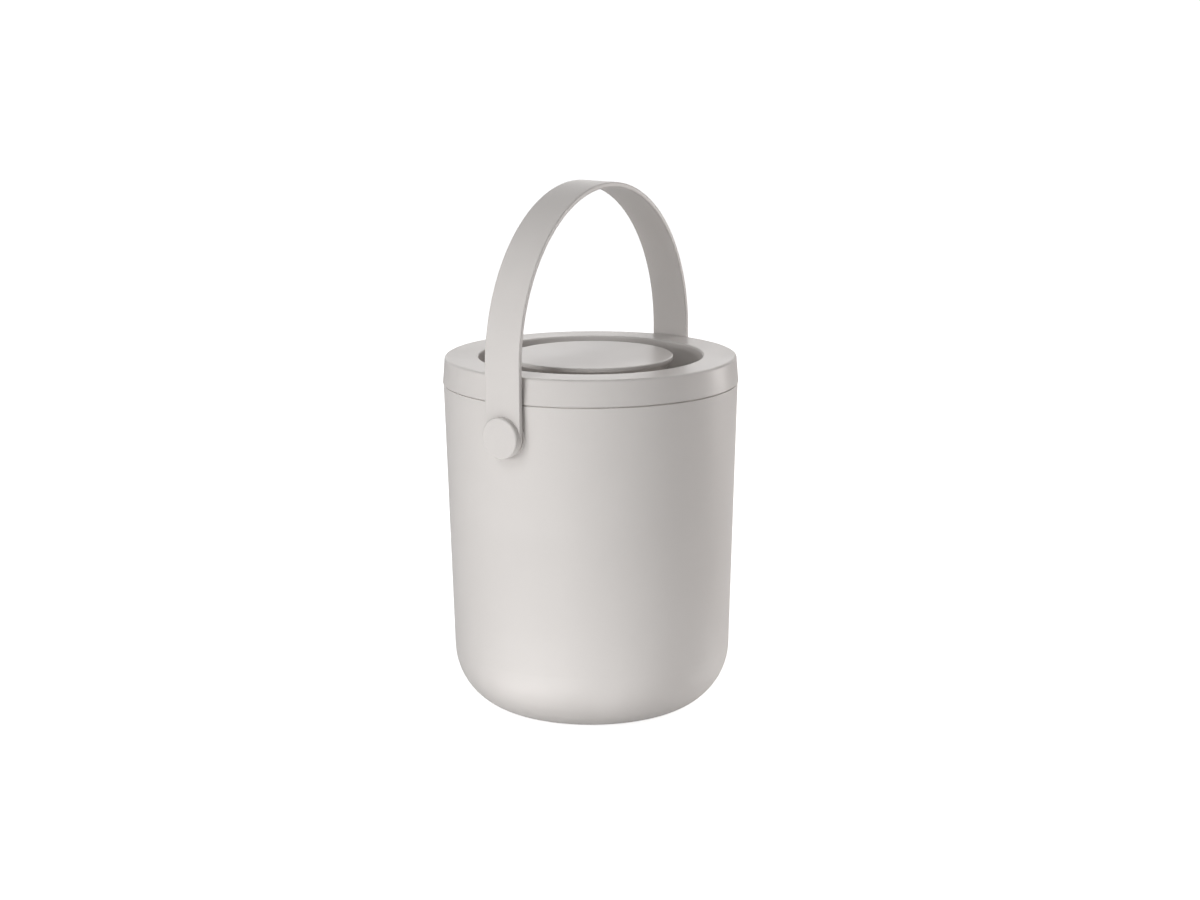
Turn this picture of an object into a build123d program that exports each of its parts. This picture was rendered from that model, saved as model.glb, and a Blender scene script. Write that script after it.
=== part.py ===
from build123d import *
import math
import os

os.makedirs("parts", exist_ok=True)

# Round kitchen waste bin with a lift-off lid, a recessed knob, a charcoal filter and a strap handle.
# Millimetres. +Z is up, the floor is z = 0 and the origin is the centre of the base.
# The handle turns about a line along X. Places beside the bin are distances from its centre line.

# Bin
bin_rim_radius = 91.6
bin_rim_height = 207.8
bin_draft = 1.76
bin_wall = 2.2
bin_bottom_rounding = 41.0
bin_rim_upstand = 1.4
bin_rim_upstand_width = 0.95
bin_rim_softening = 0.5

# Non-slip ring under the bin
foot_radius = 36.0
foot_width = 5.0
foot_proud = 0.5
foot_groove_depth = 0.9
foot_softening = 0.25
foot_fit = 0.05

# Lid
seam_gap = 0.8
lid_edge_proud = 0.4
lid_height = 16.1
lid_side_lean = 1.3
lid_wall = 2.2
lid_top_softening = 1.6
lid_rim_clearance = 0.3
lid_seat_clearance = 0.05
well_radius = 69.8
well_depth = 24.0
well_lip_softening = 1.1
well_floor_rounding = 5.0
skirt_wall = 1.8
skirt_reach = 10.0
skirt_clearance = 1.05

# Silicone seal round the lid's skirt
gasket_height = 3.0
gasket_groove_depth = 0.8
gasket_below_rim = 4.0
gasket_clearance = 0.25
gasket_softening = 0.5
gasket_fit = 0.05

# Vents in the well's floor
vent_radius = 1.6
vent_circle_radius = 55.0
vent_count = 18

# Knob
knob_top_radius = 51.2
knob_base_radius = 33.0
knob_cap_thickness = 2.4
knob_cap_softening = 0.8
knob_cap_overhang = 0.5
knob_wall = 2.2
knob_spigot_height = 3.0
knob_spigot_clearance = 0.1

# Knob screws
knob_screw_count = 3
knob_screw_circle_radius = 22.0
knob_screw_shank_radius = 1.5
knob_screw_head_radius = 3.3
knob_screw_head_height = 2.0
knob_screw_bite = 8.5
knob_screw_drive_radius = 1.1
knob_screw_fit = 0.05
knob_boss_radius = 4.2
knob_boss_spare = 1.5

# Charcoal filter and its twist-off cover
filter_radius = 60.0
filter_thickness = 6.0
filter_side_room = 1.0
filter_seat_clearance = 0.05
filter_top_room = 0.35
filter_rib_height = 2.4
filter_rib_radius = 40.0
filter_rib_width = 1.6
collar_wall = 2.0
collar_floor_room = 1.2
cover_floor = 1.8
cover_wall = 3.0
cover_clearance = 0.3
cover_top_room = 1.0
cover_twist = 25.0
lug_count = 3
lug_reach = 1.6
lug_height = 2.0
lug_width_angle = 10.0
lug_above_collar_end = 1.6
cover_slot_count = 24
cover_slot_width = 3.0
cover_slot_inner_radius = 24.0
cover_slot_outer_radius = 54.0
cover_grip_length = 38.0
cover_grip_width = 4.0
cover_grip_height = 6.0
cover_softening = 0.8

# Strap handle
strap_side_clearance = 0.8
strap_width = 25.2
strap_thickness = 3.3
strap_straight_length = 41.5
strap_arch_rise = 102.8
strap_softening = 0.8

# Pivots
pivot_below_rim = 19.5
pivot_boss_radius = 12.4
pivot_boss_inner_radius = 7.5
pivot_boss_inner_reach = 12.0
pivot_running_fit = 0.05
washer_thickness = 0.5
washer_clearance = 0.3
washer_rim_radius = 11.0
bush_radius = 5.0
bush_end_clearance = 0.3
screw_radius = 2.0
screw_fit = 0.05
screw_head_radius = 7.5
screw_head_thickness = 1.2
screw_length = 11.0
screw_drive_radius = 1.6
screw_drive_depth = 0.8
insert_radius = 3.3
insert_length = 8.0
insert_recess = 0.3
insert_groove_width = 0.8
insert_groove_depth = 0.35
hole_spare_depth = 1.0
cap_radius = 12.6
cap_proud = 3.8
cap_softening = 1.2
cap_snap_fit = 0.05

# Places worked out from the sizes above
draft_slope = math.tan(math.radians(bin_draft))
wall_along_radius = bin_wall / math.cos(math.radians(bin_draft))
base_height = foot_proud
bin_floor_height = base_height + bin_wall
lid_edge_height = bin_rim_height + seam_gap
lid_top_height = lid_edge_height + lid_height
lid_edge_radius = bin_rim_radius + lid_edge_proud
lid_top_radius = lid_edge_radius - lid_side_lean
lid_seat_height = bin_rim_height + bin_rim_upstand + lid_seat_clearance
well_floor_height = lid_top_height - well_depth
well_underside = well_floor_height - lid_wall
filter_top = well_underside - filter_rib_height - filter_top_room
filter_bottom = filter_top - filter_thickness
cover_floor_top = filter_bottom - filter_seat_clearance
cover_bottom = cover_floor_top - cover_floor
collar_radius = filter_radius + filter_side_room
collar_end = cover_floor_top + collar_floor_room
cover_radius = collar_radius + collar_wall + cover_clearance
lug_bottom = collar_end + lug_above_collar_end
pivot_height = bin_rim_height - pivot_below_rim
strap_half_span = lid_edge_radius + strap_side_clearance
strap_straight_top = pivot_height + strap_straight_length
strap_face_distance = strap_half_span + strap_thickness
cap_face_distance = strap_face_distance + cap_proud
boss_face_distance = strap_half_span - washer_clearance - washer_thickness
screw_seat_distance = strap_face_distance + bush_end_clearance


def outer_radius(height):
    """The bin's outer radius on its drafted side."""
    return bin_rim_radius - (bin_rim_height - height) * draft_slope


def inner_radius(height):
    """The bin's inner radius on its drafted side."""
    return outer_radius(height) - wall_along_radius


def profile_face(corners):
    """A flat face in the XZ plane from corners (x, z, rounding), with tangent arcs where rounding > 0."""
    edges = []
    count = len(corners)
    ends = []
    for index in range(count):
        x, z, rounding = corners[index]
        here = Vector(x, 0, z)
        before = Vector(corners[index - 1][0], 0, corners[index - 1][1])
        after = Vector(corners[(index + 1) % count][0], 0, corners[(index + 1) % count][1])
        if rounding <= 0:
            ends.append((here, None, here))
            continue
        to_before = (before - here).normalized()
        to_after = (after - here).normalized()
        half_angle = math.radians(to_before.get_angle(to_after)) / 2
        run = rounding / math.tan(half_angle)
        bisector = (to_before + to_after).normalized()
        centre = here + bisector * (rounding / math.sin(half_angle))
        ends.append((here + to_before * run, centre - bisector * rounding, here + to_after * run))
    for index in range(count):
        start, middle, end = ends[index]
        if middle is not None:
            edges.append(ThreePointArc(start, middle, end).edge())
        following = ends[(index + 1) % count][0]
        if (following - end).length > 1e-6:
            edges.append(Line(end, following).edge())
    return Face(Wire(edges))


def turned(corners):
    """A solid of revolution about Z."""
    return revolve(profile_face(corners), Axis.Z).solid()


def tube(inner, outer, bottom, top, softening=0):
    """A ring about Z with softened corners."""
    return turned([
        (inner, bottom, softening),
        (outer, bottom, softening),
        (outer, top, softening),
        (inner, top, softening),
    ])


def upright_rod(x, y, radius, bottom, top):
    """A rod parallel to Z."""
    rod = Cylinder(radius, top - bottom, align=(Align.CENTER, Align.CENTER, Align.MIN))
    return Pos(x, y, bottom) * rod


def pivot_placed(solid, side):
    """Stand a piece, made about Z with z as its distance from the bin's centre, on the pivot line."""
    return Pos(0, 0, pivot_height) * Rot(0, 90 * side, 0) * solid


def around(radius, count, first=0.0):
    """Places evenly spaced on a circle about Z, with each one's angle."""
    places = []
    for index in range(count):
        angle = first + 360 * index / count
        x = radius * math.cos(math.radians(angle))
        y = radius * math.sin(math.radians(angle))
        places.append((x, y, angle))
    return places


def sector(inner, outer, bottom, top, start_angle, end_angle):
    """Part of a ring about Z, between two angles."""
    face = profile_face([(inner, bottom, 0), (outer, bottom, 0), (outer, top, 0), (inner, top, 0)])
    swept = revolve(face, Axis.Z, revolution_arc=end_angle - start_angle).solid()
    return Rot(0, 0, start_angle) * swept


def single(shape):
    """The one solid that a finished piece consists of."""
    return shape.solids().sort_by(SortBy.VOLUME)[-1]


def make_bin_body():
    outside = turned([
        (0, base_height, 0),
        (outer_radius(base_height), base_height, bin_bottom_rounding),
        (bin_rim_radius, bin_rim_height, bin_rim_softening),
        (inner_radius(bin_rim_height) + bin_rim_upstand_width, bin_rim_height, 0),
        (inner_radius(bin_rim_height) + bin_rim_upstand_width, bin_rim_height + bin_rim_upstand, 0),
        (0, bin_rim_height + bin_rim_upstand, 0),
    ])
    cavity_top = bin_rim_height + 2 * bin_rim_upstand
    cavity = turned([
        (0, bin_floor_height, 0),
        (inner_radius(bin_floor_height), bin_floor_height, bin_bottom_rounding - bin_wall),
        (inner_radius(cavity_top), cavity_top, 0),
        (0, cavity_top, 0),
    ])
    boss_start = inner_radius(pivot_height) - pivot_boss_inner_reach
    outer_boss = upright_rod(0, 0, pivot_boss_radius, boss_start, boss_face_distance)
    inner_boss = upright_rod(0, 0, pivot_boss_inner_radius, boss_start, boss_face_distance)
    hole_end = boss_face_distance - insert_recess - insert_length - hole_spare_depth
    hole = upright_rod(0, 0, insert_radius + screw_fit, hole_end, boss_face_distance + 1)
    for side in (-1, 1):
        outside = outside + pivot_placed(outer_boss, side)
    body = outside - cavity
    for side in (-1, 1):
        body = body + pivot_placed(inner_boss, side)
    for side in (-1, 1):
        body = body - pivot_placed(hole, side)
    groove = tube(
        foot_radius - foot_width / 2,
        foot_radius + foot_width / 2,
        base_height - 1,
        base_height + foot_groove_depth,
    )
    return single(body - groove)


def make_foot_ring():
    return tube(
        foot_radius - foot_width / 2 + foot_fit,
        foot_radius + foot_width / 2 - foot_fit,
        0,
        base_height + foot_groove_depth,
        foot_softening,
    )


def skirt_outer_radius():
    return inner_radius(bin_rim_height) - skirt_clearance


def make_lid_shell():
    rim_inside = inner_radius(bin_rim_height) + bin_rim_upstand_width + lid_rim_clearance
    skirt_outside = skirt_outer_radius()
    skirt_inside = skirt_outside - skirt_wall
    skirt_end = bin_rim_height - skirt_reach
    groove_top = bin_rim_height - gasket_below_rim
    groove_bottom = groove_top - gasket_height
    groove_radius = skirt_outside - gasket_groove_depth
    underside = lid_top_height - lid_wall
    well_outside = well_radius + lid_wall
    shell = turned([
        (0, well_floor_height, 0),
        (well_radius, well_floor_height, well_floor_rounding),
        (well_radius, lid_top_height, well_lip_softening),
        (lid_top_radius, lid_top_height, lid_top_softening),
        (lid_edge_radius, lid_edge_height, 0),
        (rim_inside, lid_edge_height, 0),
        (rim_inside, lid_seat_height, 0),
        (skirt_outside, lid_seat_height, 0),
        (skirt_outside, groove_top, 0),
        (groove_radius, groove_top, 0),
        (groove_radius, groove_bottom, 0),
        (skirt_outside, groove_bottom, 0),
        (skirt_outside, skirt_end, 0),
        (skirt_inside, skirt_end, 0),
        (skirt_inside, underside, 0),
        (well_outside, underside, 0),
        (well_outside, well_underside, well_floor_rounding),
        (0, well_underside, 0),
    ])
    shell = shell + tube(collar_radius, collar_radius + collar_wall, collar_end, well_underside + lid_wall / 2)
    rib_bottom = well_underside - filter_rib_height
    shell = shell + tube(
        filter_rib_radius - filter_rib_width / 2,
        filter_rib_radius + filter_rib_width / 2,
        rib_bottom,
        well_underside + lid_wall / 2,
    )
    for _, _, angle in around(collar_radius, lug_count):
        shell = shell + sector(
            collar_radius + collar_wall / 2,
            collar_radius + collar_wall + lug_reach,
            lug_bottom,
            lug_bottom + lug_height,
            angle - lug_width_angle / 2,
            angle + lug_width_angle / 2,
        )
    for x, y, _ in around(vent_circle_radius, vent_count):
        shell = shell - upright_rod(x, y, vent_radius, well_underside - 1, well_floor_height + 1)
    for x, y, _ in around(knob_screw_circle_radius, knob_screw_count):
        hole_radius = knob_screw_shank_radius + 4 * knob_screw_fit
        shell = shell - upright_rod(x, y, hole_radius, well_underside - 1, well_floor_height + 1)
    return single(shell)


def make_lid_gasket():
    groove_top = bin_rim_height - gasket_below_rim
    lip_radius = inner_radius(groove_top - gasket_height) - gasket_clearance
    root_radius = skirt_outer_radius() - gasket_groove_depth + gasket_fit
    return turned([
        (root_radius, groove_top - gasket_height, 0),
        (lip_radius, groove_top - gasket_height, gasket_softening),
        (lip_radius, groove_top, gasket_softening),
        (root_radius, groove_top, 0),
    ])


def knob_body_top():
    return lid_top_height - knob_cap_thickness


def make_knob():
    rim_radius = knob_top_radius - knob_cap_overhang
    top = knob_body_top()
    lean = math.atan2(rim_radius - knob_base_radius, top - well_floor_height)
    wall_across = knob_wall / math.cos(lean)
    floor_top = well_floor_height + knob_wall
    inside_at_floor = knob_base_radius + knob_wall * math.tan(lean) - wall_across
    knob = turned([
        (0, well_floor_height, 0),
        (knob_base_radius, well_floor_height, 0),
        (rim_radius, top, 0),
        (rim_radius - wall_across, top, 0),
        (inside_at_floor, floor_top, 0),
        (0, floor_top, 0),
    ])
    boss_top = well_floor_height + knob_screw_bite + knob_boss_spare
    for x, y, _ in around(knob_screw_circle_radius, knob_screw_count):
        knob = knob + upright_rod(x, y, knob_boss_radius, well_floor_height + knob_wall / 2, boss_top)
    for x, y, _ in around(knob_screw_circle_radius, knob_screw_count):
        pilot_radius = knob_screw_shank_radius + knob_screw_fit
        pilot_top = well_floor_height + knob_screw_bite + knob_boss_spare / 2
        knob = knob - upright_rod(x, y, pilot_radius, well_floor_height - 1, pilot_top)
    return single(knob)


def make_knob_cap():
    rim_radius = knob_top_radius - knob_cap_overhang
    top = knob_body_top()
    lean = math.atan2(rim_radius - knob_base_radius, top - well_floor_height)
    mouth_radius = rim_radius - knob_wall / math.cos(lean)
    spigot_radius = mouth_radius - knob_spigot_height * math.tan(lean) - knob_spigot_clearance
    return turned([
        (0, top, 0),
        (spigot_radius - knob_wall, top, 0),
        (spigot_radius - knob_wall, top - knob_spigot_height, 0),
        (spigot_radius, top - knob_spigot_height, 0),
        (spigot_radius, top, 0),
        (knob_top_radius, top, 0),
        (knob_top_radius, lid_top_height, knob_cap_softening),
        (0, lid_top_height, 0),
    ])


def make_knob_screws():
    head_bottom = well_underside - knob_screw_head_height
    screws = []
    for x, y, _ in around(knob_screw_circle_radius, knob_screw_count):
        head = upright_rod(x, y, knob_screw_head_radius, head_bottom, well_underside)
        shank = upright_rod(
            x, y, knob_screw_shank_radius, well_underside - knob_screw_head_height / 2,
            well_floor_height + knob_screw_bite,
        )
        drive = upright_rod(
            x, y, knob_screw_drive_radius, head_bottom - 1, head_bottom + knob_screw_head_height / 2,
        )
        screws.append(single(head + shank - drive))
    return screws


def make_charcoal_filter():
    return tube_disc(filter_radius, filter_bottom, filter_top, 1.0)


def tube_disc(radius, bottom, top, softening):
    """A round pad with softened edges."""
    return turned([
        (0, bottom, 0),
        (radius, bottom, softening),
        (radius, top, softening),
        (0, top, 0),
    ])


def make_filter_cover():
    outside = cover_radius + cover_wall
    cover_top = well_underside - cover_top_room
    cover = turned([
        (0, cover_bottom, 0),
        (outside, cover_bottom, cover_softening),
        (outside, cover_top, 0),
        (cover_radius, cover_top, 0),
        (cover_radius, cover_floor_top, 0),
        (0, cover_floor_top, 0),
    ])
    slot_length = cover_slot_outer_radius - cover_slot_inner_radius
    slot_middle = (cover_slot_outer_radius + cover_slot_inner_radius) / 2
    slot = extrude(SlotOverall(slot_length, cover_slot_width), cover_floor + 2)
    for _, _, angle in around(slot_middle, cover_slot_count):
        cover = cover - Rot(0, 0, angle) * Pos(slot_middle, 0, cover_bottom - 1) * slot
    track_bottom = lug_bottom - cover_clearance
    track_top = lug_bottom + lug_height + cover_clearance
    room_angle = math.degrees(cover_clearance / cover_radius)
    half_width = lug_width_angle / 2 + room_angle
    for _, _, angle in around(cover_radius, lug_count):
        cover = cover - sector(
            cover_radius - 1, collar_radius + collar_wall + lug_reach + cover_clearance,
            track_bottom, track_top,
            angle - cover_twist - half_width, angle + half_width,
        )
        cover = cover - sector(
            cover_radius - 1, collar_radius + collar_wall + lug_reach + cover_clearance,
            track_bottom, cover_top + 1,
            angle - cover_twist - half_width, angle - cover_twist + half_width,
        )
    grip = Box(
        cover_grip_length, cover_grip_width, cover_grip_height + cover_floor / 2,
        align=(Align.CENTER, Align.CENTER, Align.MAX),
    )
    return single(cover + Pos(0, 0, cover_bottom + cover_floor / 2) * grip)


def make_handle_strap():
    outer_x = strap_face_distance
    inner_x = strap_half_span
    outer_rise = strap_arch_rise
    inner_rise = strap_arch_rise - strap_thickness
    with BuildSketch(Plane.XZ) as arch:
        with BuildLine():
            Line((outer_x, pivot_height), (outer_x, strap_straight_top))
            EllipticalCenterArc((0, strap_straight_top), outer_x, outer_rise, start_angle=0, arc_size=180)
            Line((-outer_x, strap_straight_top), (-outer_x, pivot_height))
            Line((-outer_x, pivot_height), (-inner_x, pivot_height))
            Line((-inner_x, pivot_height), (-inner_x, strap_straight_top))
            EllipticalCenterArc((0, strap_straight_top), inner_x, inner_rise, start_angle=0, arc_size=180)
            Line((inner_x, strap_straight_top), (inner_x, pivot_height))
            Line((inner_x, pivot_height), (outer_x, pivot_height))
        make_face()
    strap = extrude(arch.sketch, amount=strap_width / 2, both=True)
    eye = upright_rod(0, 0, strap_width / 2, strap_half_span, strap_face_distance)
    hole = upright_rod(0, 0, bush_radius + pivot_running_fit, strap_half_span - 1, strap_face_distance + 1)
    for side in (-1, 1):
        strap = strap + pivot_placed(eye, side)
    strap = fillet(strap.edges().filter_by(lambda edge: edge.length > strap_thickness * 2), strap_softening)
    for side in (-1, 1):
        strap = strap - pivot_placed(hole, side)
    return single(strap)


def make_pivot_washer():
    return tube(
        bush_radius + pivot_running_fit, washer_rim_radius,
        boss_face_distance, boss_face_distance + washer_thickness,
    )


def make_pivot_bush():
    return tube(screw_radius + screw_fit, bush_radius, boss_face_distance, screw_seat_distance)


def make_pivot_insert():
    face = boss_face_distance - insert_recess
    groove_middle = face - insert_length / 2
    insert = tube(screw_radius + screw_fit, insert_radius, face - insert_length, face)
    groove = tube(
        insert_radius - insert_groove_depth, insert_radius + 1,
        groove_middle - insert_groove_width / 2, groove_middle + insert_groove_width / 2,
    )
    return single(insert - groove)


def make_pivot_screw():
    head_top = screw_seat_distance + screw_head_thickness
    shank = upright_rod(0, 0, screw_radius, screw_seat_distance - screw_length, screw_seat_distance + 0.1)
    head = upright_rod(0, 0, screw_head_radius, screw_seat_distance, head_top)
    drive = extrude(RegularPolygon(screw_drive_radius, 6), screw_drive_depth + 1)
    return single(head + shank - Pos(0, 0, head_top - screw_drive_depth) * drive)


def make_button_cap():
    recess_radius = screw_head_radius + cap_snap_fit
    recess_top = screw_seat_distance + screw_head_thickness + cap_snap_fit
    return turned([
        (recess_radius, screw_seat_distance, 0),
        (cap_radius, screw_seat_distance, 0),
        (cap_radius, cap_face_distance, cap_softening),
        (0, cap_face_distance, 0),
        (0, recess_top, 0),
        (recess_radius, recess_top, 0),
    ])


pieces = {
    "bin_body": [make_bin_body()],
    "foot_ring": [make_foot_ring()],
    "lid_shell": [make_lid_shell()],
    "lid_gasket": [make_lid_gasket()],
    "knob": [make_knob()],
    "knob_cap": [make_knob_cap()],
    "knob_screws": make_knob_screws(),
    "charcoal_filter": [make_charcoal_filter()],
    "filter_cover": [make_filter_cover()],
    "handle_strap": [make_handle_strap()],
}

pivot_pieces = {
    "pivot_washer": make_pivot_washer(),
    "pivot_bush": make_pivot_bush(),
    "pivot_insert": make_pivot_insert(),
    "pivot_screw": make_pivot_screw(),
    "button_cap": make_button_cap(),
}
for side, side_name in ((-1, "left"), (1, "right")):
    for piece_name, piece in pivot_pieces.items():
        pieces[piece_name + "_" + side_name] = [pivot_placed(piece, side)]

for name, solids in pieces.items():
    shape = solids[0] if len(solids) == 1 else Compound(children=solids)
    export_step(shape, "parts/" + name + ".step")
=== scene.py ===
import math

import bpy
from mathutils import Matrix, Vector

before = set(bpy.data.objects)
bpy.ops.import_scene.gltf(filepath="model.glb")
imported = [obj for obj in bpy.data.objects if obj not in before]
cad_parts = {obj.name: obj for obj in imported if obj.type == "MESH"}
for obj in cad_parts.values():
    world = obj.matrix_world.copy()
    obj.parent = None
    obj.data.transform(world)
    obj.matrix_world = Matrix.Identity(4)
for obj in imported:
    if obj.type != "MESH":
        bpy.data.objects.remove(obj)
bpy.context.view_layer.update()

# The photograph's view. The fit was made about a vertical axis through the bin, with y away from the lens.
# Lengths are in metres and angles in radians.
FRAME_WIDTH_PX = 1200
FOCAL_LENGTH_PX = 2942.0
SENSOR_WIDTH_MM = 36.0
CAMERA_DISTANCE = 1.8046
CAMERA_HEIGHT = 0.5361
CAMERA_PITCH = 0.2034
CAMERA_YAW = 0.0031
CAMERA_ROLL = -0.0044
PIVOT_LINE_TURN = 0.5844
CLIP_NEAR = 0.05
CLIP_FAR = 500.0

# Colours as they look on screen, 0 to 255
PALE_PLASTIC = (217, 213, 210)
COVER_PLASTIC = (203, 199, 195)
ACETAL_WHITE = (226, 224, 216)
FOOT_SILICONE = (176, 172, 168)
SEAL_SILICONE = (196, 193, 189)
CHARCOAL_FLEECE = (38, 37, 37)
SCREW_STEEL = (176, 176, 178)
INSERT_BRASS = (201, 168, 104)
FLOOR_WHITE = (236, 236, 236)

# Colours of light, as shares
WHITE = (1.0, 1.0, 1.0)
WARM_WHITE = (1.0, 0.96, 0.94)

# Roughnesses in the middle of their range
MOULDED_ROUGHNESS = 0.34
ACETAL_ROUGHNESS = 0.40
STEEL_ROUGHNESS = 0.34
BRASS_ROUGHNESS = 0.38

# The part of a noise's range that its values mostly fill
NOISE_LOW = 0.3
NOISE_HIGH = 0.7

# Strengths of the world and of the floor's glow, where 1 is white
WORLD_LIGHT = 0.10
ROOM_IN_GLOSS = 0.6
FLOOR_GLOW = 0.8
FLOOR_IN_GLOSS = 0.15
FLOOR_BOUNCE = 0.10

# How nearly a reflection points straight away from the camera, 1 at most,
# where it starts to see the white backdrop, and where it sees nothing else
BACKDROP_EDGE = 0.55
BACKDROP_FULL = 0.95

# How far the studio reaches from the bin's axis,
# and the distances between which the floor's glow grows to white
FLOOR_REACH = 60.0
WALL_REACH = 59.5
GLOW_REACH = 0.12
WHITE_REACH = 0.7

# The finish of the floor and walls
STAGE_ROUGHNESS = 0.9
FLOOR_SPECULAR = 0.1

# Where the lamps aim, and how far over the floor its bright patches lie
AIM_HEIGHT = 0.16
PATCH_HEIGHT = 0.004

# Lamps: turn and rise in degrees, distance and size in metres, power in watts.
# A turn is measured from the camera's side, to the right.
KEY_BOXES = {
    "key": {"turn": -34, "rise": 8, "distance": 1.5, "size": (0.35, 0.35), "power": 4.0},
    "key_left": {"turn": -50, "rise": 12, "distance": 1.5, "size": (0.35, 0.35), "power": 3.3},
    "key_wide": {"turn": -50, "rise": 15, "distance": 1.2, "size": (1.0, 1.0), "power": 0.6},
    "key_high": {"turn": -40, "rise": 40, "distance": 1.4, "size": (0.6, 0.6), "power": 4.4},
}
BACK_BOXES = {
    "back_high": {"turn": 130, "rise": 50, "distance": 1.4, "size": (0.6, 0.5), "power": 2.7},
    "back_right": {"turn": 146, "rise": 33, "distance": 1.4, "size": (0.8, 0.5), "power": 1.66},
    "back_middle": {"turn": 180, "rise": 25, "distance": 1.4, "size": (1.2, 0.5), "power": 0.93},
    "back_low": {"turn": 180, "rise": 12, "distance": 1.6, "size": (1.6, 0.4), "power": 1.14},
    "edge_back": {"turn": 112, "rise": 3, "distance": 1.2, "size": (0.5, 0.4), "power": 3.2},
    "edge_side": {"turn": 85, "rise": 5, "distance": 1.2, "size": (0.4, 0.4), "power": 0.93},
}
FLOOR_PATCHES = {
    "bounce_left": {"turn": -36, "distance": 0.32, "size": (0.3, 0.3), "power": 0.13},
    "bounce_right": {"turn": 20, "distance": 0.32, "size": (0.3, 0.3), "power": 0.12},
    "bounce_near_left": {"turn": -30, "distance": 0.17, "size": (0.14, 0.1), "power": 0.04},
    "bounce_near_middle": {"turn": 5, "distance": 0.17, "size": (0.14, 0.1), "power": 0.02},
    "bounce_near_right": {"turn": 85, "distance": 0.17, "size": (0.14, 0.1), "power": 0.03},
}


def linear(colour):
    """A screen colour, 0 to 255, as the linear colour that a shader takes, by the sRGB curve."""
    result = []
    for value in colour:
        share = value / 255
        if share <= 0.04045:
            result.append(share / 12.92)
        else:
            result.append(((share + 0.055) / 1.055) ** 2.4)
    return tuple(result) + (1.0,)


def new_material(name):
    """A material with its shader and output, and nothing else in its node tree."""
    material = bpy.data.materials.new(name)
    material.use_nodes = True
    tree = material.node_tree
    tree.nodes.clear()
    shader = tree.nodes.new("ShaderNodeBsdfPrincipled")
    output = tree.nodes.new("ShaderNodeOutputMaterial")
    tree.links.new(shader.outputs["BSDF"], output.inputs["Surface"])
    return material, tree, shader


def noise(tree, scale, detail, roughness=0.5, stretch=(1, 1, 1)):
    """Noise in the object's own space, so that it stays put when the piece moves."""
    place = tree.nodes.new("ShaderNodeTexCoord")
    mapping = tree.nodes.new("ShaderNodeMapping")
    mapping.inputs["Scale"].default_value = stretch
    texture = tree.nodes.new("ShaderNodeTexNoise")
    texture.inputs["Scale"].default_value = scale
    texture.inputs["Detail"].default_value = detail
    texture.inputs["Roughness"].default_value = roughness
    tree.links.new(place.outputs["Object"], mapping.inputs["Vector"])
    tree.links.new(mapping.outputs["Vector"], texture.inputs["Vector"])
    return texture.outputs["Fac"]


def mapped(tree, value, low, high, from_low=NOISE_LOW, from_high=NOISE_HIGH):
    """A value spread over a new range, by default a noise's value."""
    node = tree.nodes.new("ShaderNodeMapRange")
    node.inputs["From Min"].default_value = from_low
    node.inputs["From Max"].default_value = from_high
    node.inputs["To Min"].default_value = low
    node.inputs["To Max"].default_value = high
    tree.links.new(value, node.inputs["Value"])
    return node.outputs["Result"]


def tinted(tree, colour, value, spread):
    """A colour that a noise value makes a little darker or lighter."""
    node = tree.nodes.new("ShaderNodeMix")
    node.data_type = "RGBA"
    base = linear(colour)[:3]
    node.inputs["A"].default_value = [part * (1 - spread) for part in base] + [1.0]
    node.inputs["B"].default_value = [min(1.0, part * (1 + spread)) for part in base] + [1.0]
    tree.links.new(value, node.inputs["Factor"])
    return node.outputs["Result"]


def bumped(tree, value, depth, strength, below=None):
    """A bump from a height value, over another bump where one is given."""
    node = tree.nodes.new("ShaderNodeBump")
    node.inputs["Strength"].default_value = strength
    node.inputs["Distance"].default_value = depth
    tree.links.new(value, node.inputs["Height"])
    if below is not None:
        tree.links.new(below, node.inputs["Normal"])
    return node.outputs["Normal"]


def moulded_plastic(name, colour, roughness=MOULDED_ROUGHNESS):
    """Matt moulded plastic: spark-eroded grain, faint mould flow and slight handling marks."""
    material, tree, shader = new_material(name)
    grain = noise(tree, scale=5200.0, detail=2.0)
    flow = noise(tree, scale=34.0, detail=3.0)
    marks = noise(tree, scale=11.0, detail=5.0, roughness=0.62)
    tint = tinted(tree, colour, flow, spread=0.012)
    dullness = mapped(tree, marks, roughness - 0.05, roughness + 0.07)
    swell = bumped(tree, flow, depth=0.00004, strength=0.35)
    skin = bumped(tree, grain, depth=0.00003, strength=0.12, below=swell)
    tree.links.new(tint, shader.inputs["Base Color"])
    tree.links.new(dullness, shader.inputs["Roughness"])
    tree.links.new(skin, shader.inputs["Normal"])
    shader.inputs["IOR"].default_value = 1.49
    shader.inputs["Specular IOR Level"].default_value = 0.42
    return material


def silicone(name, colour):
    """Soft matt silicone with a dusty bloom."""
    material, tree, shader = new_material(name)
    bloom = noise(tree, scale=120.0, detail=4.0)
    grain = noise(tree, scale=3800.0, detail=2.0)
    tint = tinted(tree, colour, bloom, spread=0.04)
    dullness = mapped(tree, bloom, 0.62, 0.78)
    skin = bumped(tree, grain, depth=0.00002, strength=0.3)
    tree.links.new(tint, shader.inputs["Base Color"])
    tree.links.new(dullness, shader.inputs["Roughness"])
    tree.links.new(skin, shader.inputs["Normal"])
    shader.inputs["IOR"].default_value = 1.41
    shader.inputs["Sheen Weight"].default_value = 0.12
    return material


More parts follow.
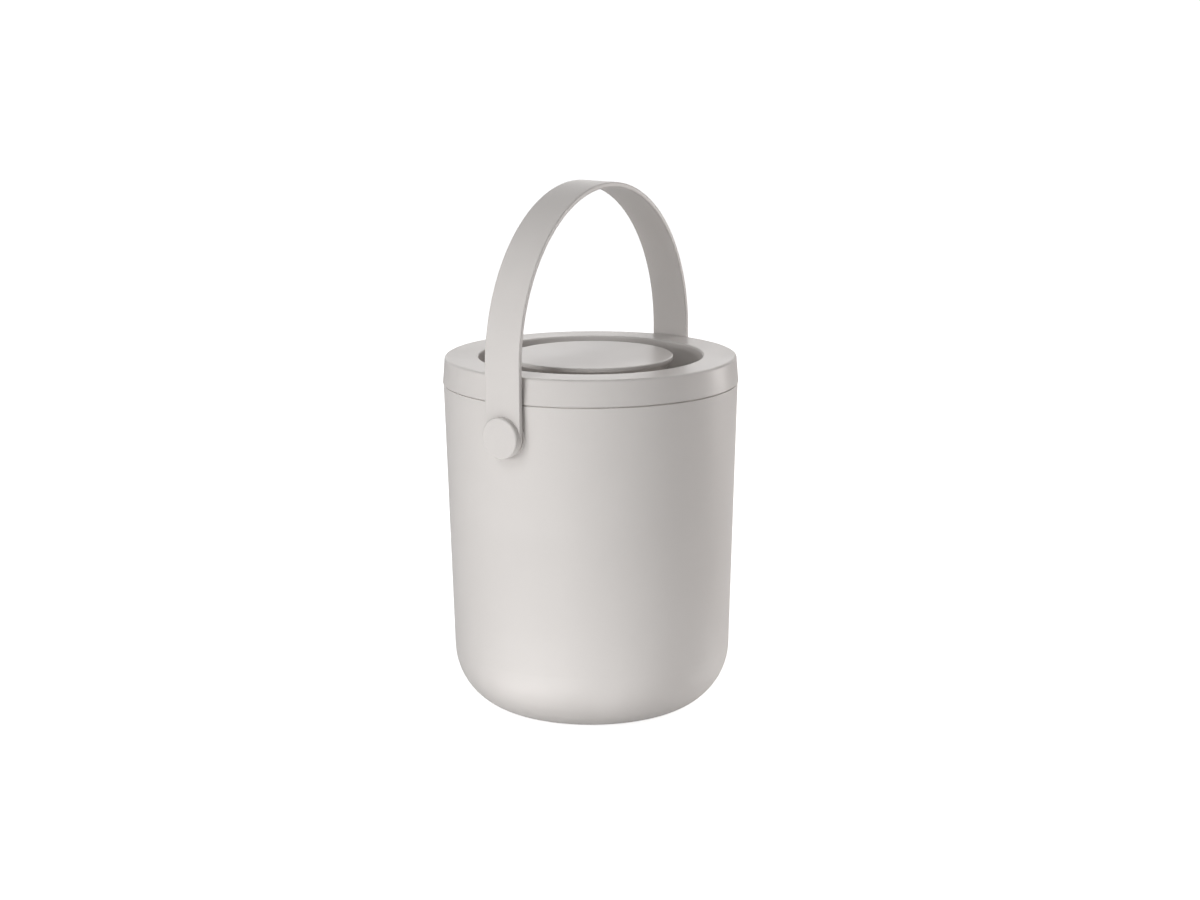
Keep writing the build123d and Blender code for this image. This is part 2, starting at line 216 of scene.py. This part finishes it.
def turned_metal(name, colour, roughness, stretch):
    """Turned metal with fine tool marks, which run across the axis that has the large number."""
    material, tree, shader = new_material(name)
    marks = noise(tree, scale=900.0, detail=3.0, roughness=0.6, stretch=stretch)
    tint = tinted(tree, colour, marks, spread=0.06)
    dullness = mapped(tree, marks, roughness - 0.07, roughness + 0.09)
    skin = bumped(tree, marks, depth=0.00002, strength=0.25)
    tree.links.new(tint, shader.inputs["Base Color"])
    tree.links.new(dullness, shader.inputs["Roughness"])
    tree.links.new(skin, shader.inputs["Normal"])
    shader.inputs["Metallic"].default_value = 1.0
    return material


def needled_fleece(name, colour):
    """Needled charcoal fleece: fine fibres over soft clumps."""
    material, tree, shader = new_material(name)
    fibres = noise(tree, scale=900.0, detail=6.0, roughness=0.7, stretch=(1.0, 1.0, 0.25))
    clumps = noise(tree, scale=160.0, detail=4.0, roughness=0.6)
    tint = tinted(tree, colour, fibres, spread=0.45)
    lumps = bumped(tree, clumps, depth=0.0006, strength=0.5)
    skin = bumped(tree, fibres, depth=0.0003, strength=0.8, below=lumps)
    tree.links.new(tint, shader.inputs["Base Color"])
    tree.links.new(skin, shader.inputs["Normal"])
    shader.inputs["Roughness"].default_value = 0.95
    shader.inputs["Sheen Weight"].default_value = 0.25
    return material


def dress(names, material):
    """Give CAD nodes one material."""
    for name in names:
        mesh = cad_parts[name].data
        mesh.materials.clear()
        mesh.materials.append(material)


def both_sides(name):
    """The names of a node that the bin has at each pivot."""
    return [name + "_left", name + "_right"]


def dress_nodes():
    """Give every CAD node its finish."""
    dress(["bin_body"], moulded_plastic("bin_plastic", PALE_PLASTIC))
    dress(["lid_shell"], moulded_plastic("lid_plastic", PALE_PLASTIC))
    dress(["knob", "knob_cap"], moulded_plastic("knob_plastic", PALE_PLASTIC))
    dress(["handle_strap"], moulded_plastic("strap_plastic", PALE_PLASTIC))
    dress(both_sides("button_cap"), moulded_plastic("cap_plastic", PALE_PLASTIC))
    dress(["filter_cover"], moulded_plastic("cover_plastic", COVER_PLASTIC))
    acetal = moulded_plastic("acetal", ACETAL_WHITE, ACETAL_ROUGHNESS)
    dress(both_sides("pivot_washer") + both_sides("pivot_bush"), acetal)
    dress(["foot_ring"], silicone("foot_silicone", FOOT_SILICONE))
    dress(["lid_gasket"], silicone("gasket_silicone", SEAL_SILICONE))
    dress(["charcoal_filter"], needled_fleece("charcoal_fleece", CHARCOAL_FLEECE))
    steel = turned_metal("steel", SCREW_STEEL, STEEL_ROUGHNESS, stretch=(1, 1, 8))
    dress(["knob_screws"] + both_sides("pivot_screw"), steel)
    brass = turned_metal("brass", INSERT_BRASS, BRASS_ROUGHNESS, stretch=(8, 1, 1))
    dress(both_sides("pivot_insert"), brass)


def place_camera():
    """The lens and stand that the photograph's outline fits, turned into the bin's own frame."""
    pivot_line = Vector((math.sin(PIVOT_LINE_TURN), math.cos(PIVOT_LINE_TURN), 0))
    across = Vector((-math.cos(PIVOT_LINE_TURN), math.sin(PIVOT_LINE_TURN), 0))

    def in_bin_frame(vector):
        return Vector((vector.dot(pivot_line), vector.dot(across), vector.z))

    forward = Vector((
        math.sin(CAMERA_YAW) * math.cos(CAMERA_PITCH),
        math.cos(CAMERA_YAW) * math.cos(CAMERA_PITCH),
        -math.sin(CAMERA_PITCH),
    ))
    level_right = Vector((math.cos(CAMERA_YAW), -math.sin(CAMERA_YAW), 0))
    level_up = level_right.cross(forward)
    right = level_right * math.cos(CAMERA_ROLL) + level_up * math.sin(CAMERA_ROLL)
    up = right.cross(forward)
    place = in_bin_frame(Vector((0, -CAMERA_DISTANCE, CAMERA_HEIGHT)))
    axes = Matrix([in_bin_frame(axis) for axis in (right, up, -forward)]).transposed()

    data = bpy.data.cameras.new("photo_camera")
    data.sensor_fit = "HORIZONTAL"
    data.sensor_width = SENSOR_WIDTH_MM
    data.lens = SENSOR_WIDTH_MM * FOCAL_LENGTH_PX / FRAME_WIDTH_PX
    data.clip_start = CLIP_NEAR
    data.clip_end = CLIP_FAR
    camera = bpy.data.objects.new("photo_camera", data)
    camera.matrix_world = Matrix.Translation(place) @ axes.to_4x4()
    bpy.context.scene.collection.objects.link(camera)
    bpy.context.scene.camera = camera
    return camera


def bearing_of(camera, turn):
    """The compass angle of a place that is turned from the camera's side, to the right."""
    place = camera.matrix_world.translation
    return math.atan2(place.y, place.x) + math.radians(turn)


def soft_box(name, camera, turn, rise, distance, size, power, colour=WHITE):
    """A rectangular lamp aimed at the bin."""
    bearing = bearing_of(camera, turn)
    climb = math.radians(rise)
    direction = Vector((
        math.cos(bearing) * math.cos(climb),
        math.sin(bearing) * math.cos(climb),
        math.sin(climb),
    ))
    data = bpy.data.lights.new(name, "AREA")
    data.shape = "RECTANGLE"
    data.size = size[0]
    data.size_y = size[1]
    data.energy = power
    data.color = colour
    lamp = bpy.data.objects.new(name, data)
    lamp.location = Vector((0, 0, AIM_HEIGHT)) + direction * distance
    lamp.rotation_euler = (-direction).to_track_quat("-Z", "Y").to_euler()
    bpy.context.scene.collection.objects.link(lamp)
    return lamp


def matt_box(name, camera, **setting):
    """A soft box that the plastic's sheen doesn't show, so that flat tops don't glare from its far side."""
    lamp = soft_box(name, camera, **setting)
    lamp.visible_glossy = False


def bounce_patch(name, camera, **setting):
    """A bright patch of the floor, which lights the bin from below and isn't seen itself."""
    lamp = soft_box(name, camera, rise=0, **setting)
    lamp.location.z = PATCH_HEIGHT
    lamp.rotation_euler = (math.pi, 0, 0)
    lamp.visible_camera = False


def math_node(tree, operation, first, second):
    """One sum, product or the like of two values or numbers."""
    node = tree.nodes.new("ShaderNodeMath")
    node.operation = operation
    for socket, value in zip(node.inputs, (first, second)):
        if isinstance(value, (int, float)):
            socket.default_value = value
        else:
            tree.links.new(value, socket)
    return node.outputs["Value"]


def seen_strength(tree, to_eye, in_gloss, on_object):
    """One strength for the eye and glass, one for reflections, and one for the light on the object."""
    path = tree.nodes.new("ShaderNodeLightPath")
    gloss = path.outputs["Is Glossy Ray"]
    eye = math_node(tree, "MAXIMUM", path.outputs["Is Camera Ray"], path.outputs["Is Transmission Ray"])
    rest = math_node(tree, "SUBTRACT", 1.0, math_node(tree, "MAXIMUM", eye, gloss))
    eye_part = math_node(tree, "MULTIPLY", eye, to_eye)
    gloss_part = math_node(tree, "MULTIPLY", gloss, in_gloss)
    rest_part = math_node(tree, "MULTIPLY", rest, on_object)
    return math_node(tree, "ADD", math_node(tree, "ADD", eye_part, gloss_part), rest_part)


def light_world(camera):
    """White to the eye. Reflections see a white backdrop behind the bin, in a greyer room."""
    world = bpy.data.worlds.new("studio")
    bpy.context.scene.world = world
    world.use_nodes = True
    tree = world.node_tree
    tree.nodes.clear()
    output = tree.nodes.new("ShaderNodeOutputWorld")
    background = tree.nodes.new("ShaderNodeBackground")
    background.inputs["Color"].default_value = WHITE + (1.0,)
    place = tree.nodes.new("ShaderNodeTexCoord")
    facing = tree.nodes.new("ShaderNodeVectorMath")
    facing.operation = "DOT_PRODUCT"
    behind = bearing_of(camera, 180)
    facing.inputs[1].default_value = (math.cos(behind), math.sin(behind), 0)
    tree.links.new(place.outputs["Generated"], facing.inputs[0])
    room = tree.nodes.new("ShaderNodeMapRange")
    room.interpolation_type = "SMOOTHSTEP"
    room.inputs["From Min"].default_value = BACKDROP_EDGE
    room.inputs["From Max"].default_value = BACKDROP_FULL
    room.inputs["To Min"].default_value = ROOM_IN_GLOSS
    room.inputs["To Max"].default_value = 1.0
    tree.links.new(facing.outputs["Value"], room.inputs["Value"])
    strength = seen_strength(tree, 1.0, room.outputs["Result"], WORLD_LIGHT)
    tree.links.new(strength, background.inputs["Strength"])
    tree.links.new(background.outputs["Background"], output.inputs["Surface"])


def glowing_white(name):
    """A dull pale material with a white glow that isn't sampled as a lamp. The caller sets its strength."""
    material, tree, shader = new_material(name)
    shader.inputs["Base Color"].default_value = linear(FLOOR_WHITE)
    shader.inputs["Roughness"].default_value = STAGE_ROUGHNESS
    shader.inputs["Emission Color"].default_value = WHITE + (1.0,)
    material.cycles.emission_sampling = "NONE"
    return material, tree, shader


def plain_mesh(name, corners, faces, material):
    """A mesh of a few flat faces in one material."""
    mesh = bpy.data.meshes.new(name)
    mesh.from_pydata(corners, [], faces)
    mesh.materials.append(material)
    piece = bpy.data.objects.new(name, mesh)
    bpy.context.scene.collection.objects.link(piece)
    return piece


def square(reach, height):
    """The corners of a level square about the bin's axis."""
    corners = [(-1, -1), (1, -1), (1, 1), (-1, 1)]
    return [(x * reach, y * reach, height) for x, y in corners]


def lay_floor():
    """A pale floor that looks white to the camera and keeps the bin's soft shadow."""
    material, tree, shader = glowing_white("floor_white")
    shader.inputs["Specular IOR Level"].default_value = FLOOR_SPECULAR
    place = tree.nodes.new("ShaderNodeTexCoord")
    reach_out = tree.nodes.new("ShaderNodeVectorMath")
    reach_out.operation = "LENGTH"
    tree.links.new(place.outputs["Object"], reach_out.inputs[0])
    to_eye = mapped(tree, reach_out.outputs["Value"], FLOOR_GLOW, 1.0, GLOW_REACH, WHITE_REACH)
    strength = seen_strength(tree, to_eye, FLOOR_IN_GLOSS, FLOOR_BOUNCE)
    tree.links.new(strength, shader.inputs["Emission Strength"])
    floor = plain_mesh("studio_floor", square(FLOOR_REACH, 0), [(0, 1, 2, 3)], material)


def raise_backdrop():
    """Far white walls and a ceiling that only the camera sees, so that thin edges have a surface behind."""
    material, tree, shader = glowing_white("backdrop_white")
    strength = seen_strength(tree, 1.0, 0.0, 0.0)
    tree.links.new(strength, shader.inputs["Emission Strength"])
    corners = square(WALL_REACH, 0) + square(WALL_REACH, WALL_REACH)
    walls = [(0, 1, 5, 4), (1, 2, 6, 5), (2, 3, 7, 6), (3, 0, 4, 7)]
    ceiling = (4, 5, 6, 7)
    backdrop = plain_mesh("studio_backdrop", corners, walls + [ceiling], material)
    backdrop.visible_diffuse = False
    backdrop.visible_glossy = False
    backdrop.visible_transmission = False
    backdrop.visible_shadow = False


def build_stage():
    """The camera, the white studio and its lamps."""
    bpy.context.scene.view_settings.view_transform = "Standard"
    camera = place_camera()
    light_world(camera)
    lay_floor()
    raise_backdrop()
    for name, setting in KEY_BOXES.items():
        matt_box(name, camera, **setting)
    for name, setting in BACK_BOXES.items():
        soft_box(name, camera, colour=WARM_WHITE, **setting)
    for name, setting in FLOOR_PATCHES.items():
        bounce_patch(name, camera, **setting)


dress_nodes()
build_stage()
